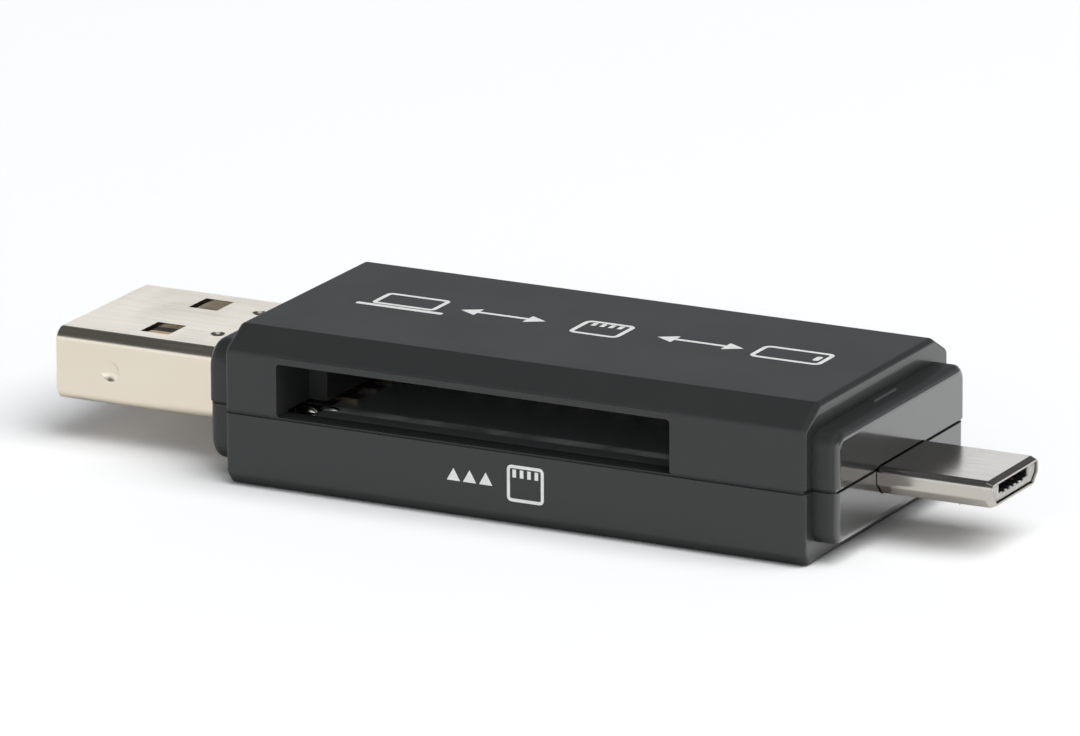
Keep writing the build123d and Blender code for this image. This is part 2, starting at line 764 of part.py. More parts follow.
# Controller chip under the board, with gull-wing leads on its two long sides
chip_seat = board_bottom - chip_standoff
with BuildPart() as controller_chip:
    with BuildSketch(Plane.XY.offset(chip_seat)):
        with Locations((chip_middle, 0)):
            Rectangle(chip_width, chip_length)
    extrude(amount=-chip_height)
    chamfer(controller_chip.faces().sort_by(Axis.Z)[0].edges(), chip_lead_sheet)
    lead_middle = chip_seat - chip_height / 2
    for side in (-1, 1):
        foot = chip_middle + side * chip_lead_span / 2
        knee = chip_middle + side * (chip_width / 2 + chip_lead_sheet * 2)
        for row in range(chip_leads):
            lead_y = (row - (chip_leads - 1) / 2) * chip_lead_pitch
            with BuildSketch(Plane.XZ.offset(-lead_y - chip_lead_width / 2)):
                with BuildLine():
                    Polyline(
                        (chip_middle, lead_middle),
                        (knee, lead_middle),
                        (knee, board_bottom - chip_lead_sheet / 2),
                        (foot, board_bottom - chip_lead_sheet / 2),
                    )
                trace(line_width=chip_lead_sheet)
            extrude(amount=chip_lead_width)
finish(controller_chip.part, "controller_chip")


def passive_grid(middle, pitch_x, pitch_y, count_x, count_y):
    """Grid of small parts with metal ends, soldered under the board."""
    with BuildPart() as grid:
        for place in GridLocations(pitch_x, pitch_y, count_x, count_y):
            part_x = middle + place.position.X
            part_y = place.position.Y
            with BuildSketch(Plane.XY.offset(board_bottom)):
                with Locations((part_x, part_y)):
                    Rectangle(passive_length, passive_width)
            extrude(amount=-passive_height)
            with BuildSketch(Plane.XY.offset(board_bottom)):
                with Locations((part_x, part_y)):
                    with GridLocations(passive_length - passive_cap, 0, 2, 1):
                        Rectangle(passive_cap + 2 * passive_cap_lip, passive_width + 2 * passive_cap_lip)
            extrude(amount=-passive_height - passive_cap_lip)
    return grid.part


# Capacitors stand off both ends of the chip, resistors behind the USB-A contacts
capacitor_rows = chip_length + 2 * capacitor_gap + passive_width
capacitors = passive_grid(chip_middle, capacitor_pitch, capacitor_rows, 2, 2)
finish(capacitors, "chip_capacitors")
resistors = passive_grid(board_left + resistor_from_board_end, 0, resistor_pitch, 1, resistor_count)
finish(resistors, "chip_resistors")
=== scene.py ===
"""Studio scene of a two-ended memory card reader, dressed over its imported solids.

Everything is in metres in the frame of the solids: the origin is the middle of the housing's
underside, +X points to the micro plug, -Y is the side with the card slot and +Z is up.
"""

from __future__ import annotations

import logging
import math
from dataclasses import dataclass
from enum import Enum

import bpy
from mathutils import Matrix, Vector

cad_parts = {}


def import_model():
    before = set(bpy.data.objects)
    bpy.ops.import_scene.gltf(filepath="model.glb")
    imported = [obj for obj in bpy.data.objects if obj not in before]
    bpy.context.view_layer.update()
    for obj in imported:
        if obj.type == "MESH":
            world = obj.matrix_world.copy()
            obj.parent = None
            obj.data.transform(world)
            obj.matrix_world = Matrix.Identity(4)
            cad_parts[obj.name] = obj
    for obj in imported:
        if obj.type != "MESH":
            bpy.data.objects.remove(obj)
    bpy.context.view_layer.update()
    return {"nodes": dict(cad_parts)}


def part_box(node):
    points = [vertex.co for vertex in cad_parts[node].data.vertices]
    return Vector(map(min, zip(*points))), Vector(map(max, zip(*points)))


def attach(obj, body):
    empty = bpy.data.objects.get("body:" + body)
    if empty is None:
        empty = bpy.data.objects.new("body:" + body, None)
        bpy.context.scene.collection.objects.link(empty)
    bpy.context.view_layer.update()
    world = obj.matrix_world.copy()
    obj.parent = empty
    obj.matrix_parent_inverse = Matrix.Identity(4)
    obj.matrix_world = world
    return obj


MM = 0.001
BODY = "root"
PHOTO_WIDTH_PX = 1080

log = logging.getLogger("card_reader")

Colour = tuple[float, float, float, float]
Source = "bpy.types.NodeSocket | float | tuple"


class Slot(Enum):
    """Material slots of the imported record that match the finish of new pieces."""

    HOUSING = "housing_plastic"
    STEEL = "plug_steel"


@dataclass
class NodeSheet:
    """A node tree, with short calls that add and wire its nodes.

    Attributes:
        tree: The tree of a material, a world or a shared group.
    """

    tree: bpy.types.NodeTree

    def add(self, kind: str, **settings: object) -> bpy.types.Node:
        """Add a node.

        Args:
            kind: Blender's own name for the type of node.
            settings: Values of the node's properties.

        Returns:
            The new node.
        """
        node = self.tree.nodes.new(kind)
        for name, value in settings.items():
            setattr(node, name, value)
        return node

    def feed(self, node: bpy.types.Node, socket: str | int, source: Source) -> None:
        """Give an input a value, or link it to another node's output.

        Args:
            node: The node that has the input.
            socket: The input's name or number.
            source: A number, a colour, a vector or an output.
        """
        self.wire(node.inputs[socket], source)

    def wire(self, target: bpy.types.NodeSocket, source: Source) -> None:
        """Give an input socket a value, or link it to an output.

        Args:
            target: The input socket.
            source: A number, a colour, a vector or an output.
        """
        if isinstance(source, bpy.types.NodeSocket):
            self.tree.links.new(source, target)
        else:
            target.default_value = source

    def math(self, operation: str, *sources: Source) -> bpy.types.NodeSocket:
        """Add a Math node.

        Args:
            operation: The operation's name in Blender.
            sources: One value or output for each input.

        Returns:
            The node's output.
        """
        node = self.add("ShaderNodeMath", operation=operation)
        for number, source in enumerate(sources):
            self.feed(node, number, source)
        return node.outputs[0]

    def spread(
        self, value: Source, low: float, high: float, start: float = 0, end: float = 1
    ) -> bpy.types.NodeSocket:
        """Map a value from one range to another.

        Args:
            value: The value to map.
            low: What the start of the old range becomes.
            high: What the end of the old range becomes.
            start: The start of the old range.
            end: The end of the old range.

        Returns:
            The mapped value, kept inside the new range.
        """
        node = self.add("ShaderNodeMapRange")
        for socket, source in (("Value", value), ("From Min", start), ("From Max", end)):
            self.feed(node, socket, source)
        self.feed(node, "To Min", low)
        self.feed(node, "To Max", high)
        return node.outputs["Result"]

    def blend(self, factor: Source, first: Source, second: Source) -> bpy.types.NodeSocket:
        """Mix two colours.

        Args:
            factor: Share of the second colour.
            first: Colour at a factor of 0.
            second: Colour at a factor of 1.

        Returns:
            The mixed colour.
        """
        node = self.add("ShaderNodeMix", data_type="RGBA")
        self.feed(node, "Factor", factor)
        colours = {socket.name: socket for socket in node.inputs if socket.type == "RGBA"}
        self.wire(colours["A"], first)
        self.wire(colours["B"], second)
        return next(socket for socket in node.outputs if socket.type == "RGBA")

    def place(self, scale: tuple[float, float, float]) -> bpy.types.NodeSocket:
        """Give the object's own coordinates, stretched along each axis.

        Args:
            scale: Factor along X, Y and Z.

        Returns:
            The stretched coordinates.
        """
        coordinates = self.add("ShaderNodeTexCoord")
        mapping = self.add("ShaderNodeMapping")
        self.feed(mapping, "Vector", coordinates.outputs["Object"])
        self.feed(mapping, "Scale", scale)
        return mapping.outputs["Vector"]

    def axes(self, kind: str = "Object") -> bpy.types.bpy_prop_collection:
        """Give X, Y and Z of a texture coordinate as separate outputs.

        Args:
            kind: Which of Blender's texture coordinates to split.

        Returns:
            The outputs, by the names X, Y and Z.
        """
        coordinates = self.add("ShaderNodeTexCoord")
        split = self.add("ShaderNodeSeparateXYZ")
        self.feed(split, 0, coordinates.outputs[kind])
        return split.outputs

    def noise(self, place: bpy.types.NodeSocket, scale: Source, detail: float) -> bpy.types.NodeSocket:
        """Add a noise texture.

        Args:
            place: Coordinates to read it at.
            scale: How many blotches there are in a metre.
            detail: How many finer layers it has.

        Returns:
            The noise, from 0 to 1.
        """
        node = self.add("ShaderNodeTexNoise")
        self.feed(node, "Vector", place)
        self.feed(node, "Scale", scale)
        self.feed(node, "Detail", detail)
        return node.outputs[0]


class SharedEffects:
    """Shader node groups that several finishes use, each built once."""

    def __init__(self) -> None:
        """Build the three groups."""
        self.grain = self._grain()
        self.streaks = self._streaks()
        self.handling = self._handling()

    @staticmethod
    def _start(
        name: str, inputs: dict[str, float], outputs: tuple[str, ...]
    ) -> tuple[NodeSheet, dict[str, bpy.types.NodeSocket], bpy.types.Node]:
        """Start a group with number sockets.

        Args:
            name: The group's name.
            inputs: Each input's name and usual value.
            outputs: The outputs' names.

        Returns:
            The group's sheet, its inputs by name and its output node.
        """
        tree = bpy.data.node_groups.new(name, "ShaderNodeTree")
        for label, usual in inputs.items():
            socket = tree.interface.new_socket(label, in_out="INPUT", socket_type="NodeSocketFloat")
            socket.default_value = usual
        for label in outputs:
            tree.interface.new_socket(label, in_out="OUTPUT", socket_type="NodeSocketFloat")
        sheet = NodeSheet(tree)
        entry = sheet.add("NodeGroupInput")
        return sheet, {label: entry.outputs[label] for label in inputs}, sheet.add("NodeGroupOutput")

    def _grain(self) -> bpy.types.NodeTree:
        """Make the fine pebbled texture that an eroded mould leaves on plastic."""
        sheet, given, result = self._start(
            "mould_grain", {"Grains per Metre": 9000.0, "Blotches per Metre": 260.0}, ("Height", "Tone")
        )
        place = sheet.place((1, 1, 1))
        sheet.feed(result, "Height", sheet.noise(place, given["Grains per Metre"], 3.0))
        sheet.feed(result, "Tone", sheet.noise(place, given["Blotches per Metre"], 4.0))
        return sheet.tree

    def _streaks(self) -> bpy.types.NodeTree:
        """Make the long fine lines that rolling and drawing leave on sheet metal."""
        sheet, given, result = self._start(
            "rolled_streaks", {"Lines per Metre": 9000.0, "Clouds per Metre": 380.0}, ("Line", "Cloud")
        )
        sheet.feed(result, "Line", sheet.noise(sheet.place((0.02, 1, 1)), given["Lines per Metre"], 2.0))
        sheet.feed(result, "Cloud", sheet.noise(sheet.place((0.35, 1, 1)), given["Clouds per Metre"], 3.0))
        return sheet.tree

    def _handling(self) -> bpy.types.NodeTree:
        """Make the faint smears that fingers leave on a shiny surface."""
        sheet, given, result = self._start("handling_smears", {"Smears per Metre": 150.0}, ("Smear",))
        place = sheet.place((1.0, 0.6, 1.4))
        smear = sheet.noise(place, given["Smears per Metre"], 5.0)
        sheet.feed(result, "Smear", sheet.spread(smear, 0.0, 1.0, 0.42, 0.66))
        return sheet.tree


@dataclass(frozen=True)
class Finish:
    """What every finish has.

    Attributes:
        name: Name of the material.
        effects: The shared node groups.
    """

    name: str
    effects: SharedEffects

    def begin(self, **constants: object) -> tuple[bpy.types.Material, NodeSheet, bpy.types.Node]:
        """Start a material with one Principled shader.

        Args:
            constants: Values for the shader's own sockets, with _ for a space.

        Returns:
            The material, its sheet and its shader.
        """
        material = bpy.data.materials.new(self.name)
        material.use_nodes = True
        sheet = NodeSheet(material.node_tree)
        shader = next(node for node in sheet.tree.nodes if node.type == "BSDF_PRINCIPLED")
        for socket, value in constants.items():
            shader.inputs[socket.replace("_", " ")].default_value = value
        return material, sheet, shader

    def effect(self, sheet: NodeSheet, group: bpy.types.NodeTree, **values: float) -> bpy.types.Node:
        """Place a shared effect in a material.

        Args:
            sheet: The material's sheet.
            group: The effect's group.
            values: Its inputs, with _ for a space.

        Returns:
            The group's node.
        """
        node = sheet.add("ShaderNodeGroup", node_tree=group)
        for socket, value in values.items():
            node.inputs[socket.replace("_", " ")].default_value = value
        return node

    @staticmethod
    def bump(
        sheet: NodeSheet, shader: bpy.types.Node, height: Source, depth: float, strength: float
    ) -> None:
        """Give a shader a bump from a height.

        Args:
            sheet: The material's sheet.
            shader: The shader to give it to.
            height: The height, from 0 to 1.
            depth: How deep the bump is, in metres.
            strength: How much of it shows.
        """
        node = sheet.add("ShaderNodeBump")
        sheet.feed(node, "Strength", strength)
        sheet.feed(node, "Distance", depth)
        sheet.feed(node, "Height", height)
        sheet.feed(shader, "Normal", node.outputs["Normal"])


@dataclass(frozen=True)
class HousingPlastic(Finish):
    """Black moulded plastic: grained outside, with painted shade on the faces that look down, and polished
    on the ends.

    Attributes:
        half_length: Half the length of the grained body, in metres.
        black: Colour of the plastic.
        worn: Colour where handling has dulled it.
        painted_underside_shade: Colour of the underside and the foot's edges, which no hand has touched.
        face_polish: How far the body's own end faces are polished. The collars are polished fully.
        lacquer: Weight of the clear gloss on fully polished faces.
    """

    half_length: float
    black: Colour = (0.0175, 0.018, 0.018, 1)
    worn: Colour = (0.0205, 0.021, 0.0205, 1)
    # painted_underside_shade: Painted shade, a near-black colour on the underside and the foot's edges, the
    # faces that look down.
    painted_underside_shade: Colour = (0.004, 0.004, 0.004, 1)
    face_polish: float = 0.45
    lacquer: float = 0.9

    def build(self) -> bpy.types.Material:
        """Make the material."""
        material, sheet, shader = self.begin(
            IOR=1.5, Specular_IOR_Level=0.52, Coat_Roughness=0.08, Coat_IOR=1.8
        )
        grain = self.effect(sheet, self.effects.grain)
        smear = self.effect(sheet, self.effects.handling)
        axes = sheet.axes()
        beyond = sheet.math("SUBTRACT", sheet.math("ABSOLUTE", axes["X"]), self.half_length)
        end_face = sheet.spread(beyond, 0.0, self.face_polish, -0.05 * MM, -0.01 * MM)
        collar = sheet.spread(beyond, 0.0, 1.0 - self.face_polish, 0.05 * MM, 0.1 * MM)
        outside = sheet.math("ADD", end_face, collar)
        facing = sheet.axes("Normal")
        endwise = sheet.spread(sheet.math("ABSOLUTE", facing["X"]), 0.0, 1.0, 0.5, 0.9)
        polished = sheet.math("MULTIPLY", outside, endwise)
        outer = sheet.blend(grain.outputs["Tone"], self.black, self.worn)
        # Painted shade: faces that look down are coloured near black.
        under = sheet.spread(facing["Z"], 1.0, 0.0, -0.6, -0.3)
        sheet.feed(shader, "Base Color", sheet.blend(under, outer, self.painted_underside_shade))
        dull = sheet.spread(grain.outputs["Tone"], 0.52, 0.60)
        shine = sheet.spread(smear.outputs["Smear"], 0.14, 0.22)
        rough = sheet.add("ShaderNodeMix", data_type="FLOAT")
        sheet.feed(rough, "Factor", polished)
        sheet.feed(rough, 2, dull)
        sheet.feed(rough, 3, shine)
        sheet.feed(shader, "Roughness", rough.outputs[0])
        sheet.feed(shader, "Coat Weight", sheet.math("MULTIPLY", polished, self.lacquer))
        relief = sheet.math("MULTIPLY", grain.outputs["Height"], sheet.math("SUBTRACT", 1.0, polished))
        self.bump(sheet, shader, relief, 0.004 * MM, 0.35)
        return material


@dataclass(frozen=True)
class PlatedSteel(Finish):
    """Nickel-plated sheet steel, rolled along X.

    Attributes:
        bright: Colour of the clean plating.
        dim: Colour where the plating is thinner.
        shine: Roughness of the smoothest and the dullest streaks.
    """

    bright: Colour = (0.765, 0.70, 0.59, 1)
    dim: Colour = (0.725, 0.65, 0.53, 1)
    shine: tuple[float, float] = (0.17, 0.23)

    def build(self) -> bpy.types.Material:
        """Make the material."""
        material, sheet, shader = self.begin(Metallic=1.0)
        streaks = self.effect(sheet, self.effects.streaks)
        smear = self.effect(sheet, self.effects.handling, Smears_per_Metre=240.0)
        sheet.feed(shader, "Base Color", sheet.blend(streaks.outputs["Cloud"], self.bright, self.dim))
        smooth, dull = self.shine
        lined = sheet.spread(streaks.outputs["Line"], smooth, dull, 0.3, 0.7)
        touched = sheet.math("MULTIPLY", smear.outputs["Smear"], 0.05)
        sheet.feed(shader, "Roughness", sheet.math("ADD", lined, touched))
        self.bump(sheet, shader, streaks.outputs["Line"], 0.001 * MM, 0.1)
        return material


@dataclass(frozen=True)
class GoldPlate(Finish):
    """Thin gold over nickel on the spring contacts.

    Attributes:
        rich: Colour of the full plating.
        pale: Colour where the nickel shows through.
    """

    rich: Colour = (0.62, 0.49, 0.28, 1)
    pale: Colour = (0.60, 0.53, 0.40, 1)

    def build(self) -> bpy.types.Material:
        """Make the material."""
        material, sheet, shader = self.begin(Metallic=1.0)
        streaks = self.effect(sheet, self.effects.streaks, Lines_per_Metre=14000.0, Clouds_per_Metre=900.0)
        sheet.feed(shader, "Base Color", sheet.blend(streaks.outputs["Cloud"], self.rich, self.pale))
        sheet.feed(shader, "Roughness", sheet.spread(streaks.outputs["Line"], 0.2, 0.34))
        self.bump(sheet, shader, streaks.outputs["Line"], 0.001 * MM, 0.2)
        return material


@dataclass(frozen=True)
class MouldedInsulator(Finish):
    """Filled plastic of the tongues and card sockets.

    Attributes:
        base: Colour of the plastic.
        flow: Colour of its flow marks.
    """

    base: Colour = (0.018, 0.018, 0.019, 1)
    flow: Colour = (0.032, 0.032, 0.031, 1)

    def build(self) -> bpy.types.Material:
        """Make the material."""
        material, sheet, shader = self.begin(IOR=1.52)
        grain = self.effect(sheet, self.effects.grain, Grains_per_Metre=16000.0, Blotches_per_Metre=700.0)
        sheet.feed(shader, "Base Color", sheet.blend(grain.outputs["Tone"], self.base, self.flow))
        sheet.feed(shader, "Roughness", sheet.spread(grain.outputs["Tone"], 0.44, 0.6))
        self.bump(sheet, shader, grain.outputs["Height"], 0.003 * MM, 0.3)
        return material


@dataclass(frozen=True)
class TongueFace(Finish):
    """Pale-faced plastic tongue, painted near black deeper than its front face: painted shade in the plug's
    mouth.

    Attributes:
        front: X of the face, in metres.
        pale_face_depth: Depth from the face over which the colour stays pale, in metres.
        pale: Colour of the face.
        scuffed: Colour where sockets have rubbed it.
        dark: Painted shade, the near-black colour of the tongue's faces inside the plug's mouth.
    """

    front: float
    pale_face_depth: float = 0.06 * MM
    pale: Colour = (0.50, 0.50, 0.47, 1)
    scuffed: Colour = (0.36, 0.35, 0.33, 1)
    dark: Colour = (0.012, 0.012, 0.012, 1)

    def build(self) -> bpy.types.Material:
        """Make the material."""
        material, sheet, shader = self.begin(IOR=1.52)
        grain = self.effect(sheet, self.effects.grain, Grains_per_Metre=16000.0, Blotches_per_Metre=3500.0)
        axes = sheet.axes()
        # Painted shade: all of the tongue but its front face is coloured near black, as the inside of the
        # plug's mouth is dark.
        depth = sheet.math("SUBTRACT", self.front, axes["X"])
        painted_shade_share = sheet.spread(depth, 0.0, 1.0, self.pale_face_depth, 2 * self.pale_face_depth)
        rubbed = sheet.spread(grain.outputs["Tone"], 0.0, 1.0, 0.35, 0.65)
        face = sheet.blend(rubbed, self.pale, self.scuffed)
        sheet.feed(shader, "Base Color", sheet.blend(painted_shade_share, face, self.dark))
        sheet.feed(shader, "Roughness", sheet.spread(grain.outputs["Tone"], 0.4, 0.6))
        self.bump(sheet, shader, grain.outputs["Height"], 0.003 * MM, 0.3)
        return material


@dataclass(frozen=True)
class SolderMask(Finish):
    """Dark green lacquer over the board's copper, with painted light on a pale strip near its front edge.

    Attributes:
        top: Height of the board's upper face, in metres.
        thickness: Thickness of the board, in metres.
        front: Y of the board's front edge, in metres.
        margin: Distance from that edge to the strip of painted light, in metres.
        strip: Width of the strip of painted light, in metres.
        fade: Width of the strip's ragged edges, in metres.
        lacquer: Colour over bare board.
        track: Colour over copper.
        edge: Colour of the cut edge, where the glass shows; it is also mixed into the painted light on the
            strip.
        clean: Painted light on the strip near the front edge: the pale colour that stands in for light
            falling on the board through the slot.
    """

    top: float
    thickness: float
    front: float
    margin: float = 1.3 * MM
    strip: float = 1.3 * MM
    fade: float = 0.3 * MM
    lacquer: Colour = (0.15, 0.165, 0.165, 1)
    track: Colour = (0.19, 0.21, 0.20, 1)
    edge: Colour = (0.24, 0.28, 0.26, 1)
    clean: Colour = (0.62, 0.70, 0.66, 1)

    def build(self) -> bpy.types.Material:
        """Make the material."""
        material, sheet, shader = self.begin(IOR=1.55)
        bricks = sheet.add("ShaderNodeTexBrick")
        sheet.feed(bricks, "Vector", sheet.place((1, 1, 1)))
        for socket, value in (("Scale", 400.0), ("Mortar Size", 0.012), ("Mortar Smooth", 0.4)):
            sheet.feed(bricks, socket, value)
        copper = bricks.outputs["Fac"]
        grain = self.effect(sheet, self.effects.grain, Grains_per_Metre=14000.0, Blotches_per_Metre=420.0)
        surface = sheet.blend(copper, self.lacquer, self.track)
        axes = sheet.axes()
        middle = self.top - self.thickness / 2
        away = sheet.math("ABSOLUTE", sheet.math("SUBTRACT", axes["Z"], middle))
        cut = sheet.spread(away, 1.0, 0.0, self.thickness * 0.42, self.thickness * 0.48)
        # Painted light: a pale strip across the board near its front edge stands in for the light that
        # falls on it through the slot.
        middle_line = self.front + self.margin + self.strip / 2
        aside = sheet.math("ABSOLUTE", sheet.math("SUBTRACT", axes["Y"], middle_line))
        bare_span_and_painted_strip = sheet.spread(aside, 1.0, 0.0, self.strip / 2 - self.fade, self.strip / 2)
        shown = sheet.math("MAXIMUM", cut, bare_span_and_painted_strip)
        painted_light_share = sheet.spread(grain.outputs["Tone"], 0.0, 1.0, 0.35, 0.65)
        glass = sheet.blend(painted_light_share, self.edge, self.clean)
        sheet.feed(shader, "Base Color", sheet.blend(shown, surface, glass))
        sheet.feed(shader, "Roughness", sheet.spread(grain.outputs["Tone"], 0.24, 0.36))
        relief = sheet.math("ADD", copper, sheet.math("MULTIPLY", grain.outputs["Height"], 0.2))
        self.bump(sheet, shader, relief, 0.01 * MM, 0.4)
        return material


@dataclass(frozen=True)
class TinnedPart(Finish):
    """A dark or tan body with tinned metal ends, told apart by the distance from its middle along X.

    Attributes:
        body: Colour of the body.
        first: X of the first part's middle, in metres.
        pitch: Distance from one part to the next along X, in metres.
        bare_span_and_painted_strip: Half the length of the body that shows between the ends, in metres.
        tin: Colour of the ends.
    """

    body: Colour
    first: float
    pitch: float
    bare_span_and_painted_strip: float
    tin: Colour = (0.68, 0.67, 0.64, 1)

    def build(self) -> bpy.types.Material:
        """Make the material."""
        material, sheet, shader = self.begin(IOR=1.5)
        grain = self.effect(sheet, self.effects.grain, Grains_per_Metre=20000.0, Blotches_per_Metre=1500.0)
        axes = sheet.axes()
        start = sheet.math("SUBTRACT", axes["X"], self.first - self.pitch / 2)
        along = sheet.math("WRAP", start, self.pitch, 0.0)
        away = sheet.math("ABSOLUTE", sheet.math("SUBTRACT", along, self.pitch / 2))
        end = sheet.math("GREATER_THAN", away, self.bare_span_and_painted_strip)
        sheet.feed(shader, "Base Color", sheet.blend(end, self.body, self.tin))
        sheet.feed(shader, "Metallic", end)
        sheet.feed(shader, "Roughness", sheet.spread(grain.outputs["Tone"], 0.3, 0.5))
        self.bump(sheet, shader, grain.outputs["Height"], 0.003 * MM, 0.3)
        return material


@dataclass(frozen=True)
class PrintInk(Finish):
    """Pale screen ink, a little thin in places.

    Attributes:
        ink: Colour of the full ink.
        thin: Colour where the plastic shows through.
    """

    ink: Colour = (0.78, 0.79, 0.77, 1)
    thin: Colour = (0.60, 0.61, 0.59, 1)

    def build(self) -> bpy.types.Material:
        """Make the material."""
        material, sheet, shader = self.begin(IOR=1.45)
        grain = self.effect(sheet, self.effects.grain, Grains_per_Metre=12000.0, Blotches_per_Metre=2200.0)
        sheet.feed(shader, "Base Color", sheet.blend(grain.outputs["Tone"], self.ink, self.thin))
        sheet.feed(shader, "Roughness", sheet.spread(grain.outputs["Tone"], 0.5, 0.7))
        self.bump(sheet, shader, grain.outputs["Height"], 0.004 * MM, 0.3)
        return material


class Bench:
    """Operator calls that every modelled piece uses."""

    @staticmethod
    def clear() -> None:
        """Leave object mode with nothing selected."""
        if bpy.context.object is not None and bpy.context.object.mode != "OBJECT":
            bpy.ops.object.mode_set(mode="OBJECT")
        bpy.ops.object.select_all(action="DESELECT")

    @staticmethod
    def only(piece: bpy.types.Object) -> None:
        """Select one piece and make it active."""
        Bench.clear()
        piece.select_set(True)
        bpy.context.view_layer.objects.active = piece

    @staticmethod
    def settle(piece: bpy.types.Object, material: bpy.types.Material, slot: Slot) -> bpy.types.Object:
        """Apply a piece's place, dress it and let it ride on the object.

        Args:
            piece: The finished piece.
            material: Its material.
            slot: The record's slot for its finish. Not used.

        Returns:
            The piece.
        """
        Bench.only(piece)
        bpy.ops.object.transform_apply(location=True, rotation=True, scale=True)
        piece.data.materials.clear()
        piece.data.materials.append(material)
        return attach(piece, BODY)


@dataclass
class InkPrint:
    """A printed sign, drawn flat as thin slabs and then laid on a face.

    Attributes:
        name: Name of the piece.
        line: Width of its lines, in metres.
        film: Thickness of the ink, in metres.
    """

    name: str
    line: float
    film: float = 0.015 * MM

    def start(self) -> None:
        """Begin the drawing with an empty mesh in edit mode."""
        Bench.clear()
        bpy.ops.mesh.primitive_plane_add(size=self.line)
        bpy.context.object.name = self.name
        bpy.ops.object.mode_set(mode="EDIT")
        bpy.ops.mesh.delete(type="VERT")

    def block(self, x: float, y: float, width: float, height: float, round_by: float = 0.0) -> None:
        """Draw a filled rectangle.

        Args:
            x: Its middle along the sign.
            y: Its middle up the sign.
            width: Its width.
            height: Its height.
            round_by: Radius of its corners.
        """
        bpy.ops.mesh.select_all(action="DESELECT")
        bpy.ops.mesh.primitive_plane_add(size=1, location=(x, y, 0))
        bpy.ops.transform.resize(value=(width, height, 1), center_override=(x, y, 0))
        if round_by:
            bpy.ops.mesh.bevel(offset=round_by, segments=4, affect="VERTICES")

    def frame(self, x: float, y: float, width: float, height: float, round_by: float) -> None:
        """Draw the outline of a rectangle with round corners, with the same arguments as block."""
        self.block(x, y, width, height, round_by)
        bpy.ops.mesh.inset(thickness=self.line)
        bpy.ops.mesh.delete(type="FACE")

    def tip(self, x: float, y: float, radius: float, turn: float) -> None:
        """Draw an arrow's tip.

        Args:
            x: Its middle along the sign.
            y: Its middle up the sign.
            radius: Distance from its middle to a corner.
            turn: How far it is turned from pointing up, in radians.
        """
        bpy.ops.mesh.select_all(action="DESELECT")
        bpy.ops.mesh.primitive_circle_add(
            vertices=3, radius=radius, fill_type="NGON", location=(x, y, 0), rotation=(0, 0, turn)
        )

    def lay(self, place: Vector, tilt: float, material: bpy.types.Material) -> bpy.types.Object:
        """Thicken the drawing and lay it on its face.

        Args:
            place: Where the drawing's origin goes.
            tilt: Turn about X that lays it on the face, in radians.
            material: The ink.

        Returns:
            The finished piece.
        """
        bpy.ops.mesh.select_all(action="SELECT")
        bpy.ops.mesh.extrude_region_move(TRANSFORM_OT_translate={"value": (0, 0, self.film)})
        bpy.ops.mesh.select_all(action="SELECT")
        bpy.ops.mesh.normals_make_consistent(inside=False)
        bpy.ops.object.mode_set(mode="OBJECT")
        piece = bpy.context.object
        piece.location = place
        piece.rotation_euler = (tilt, 0, 0)
        return Bench.settle(piece, material, Slot.HOUSING)


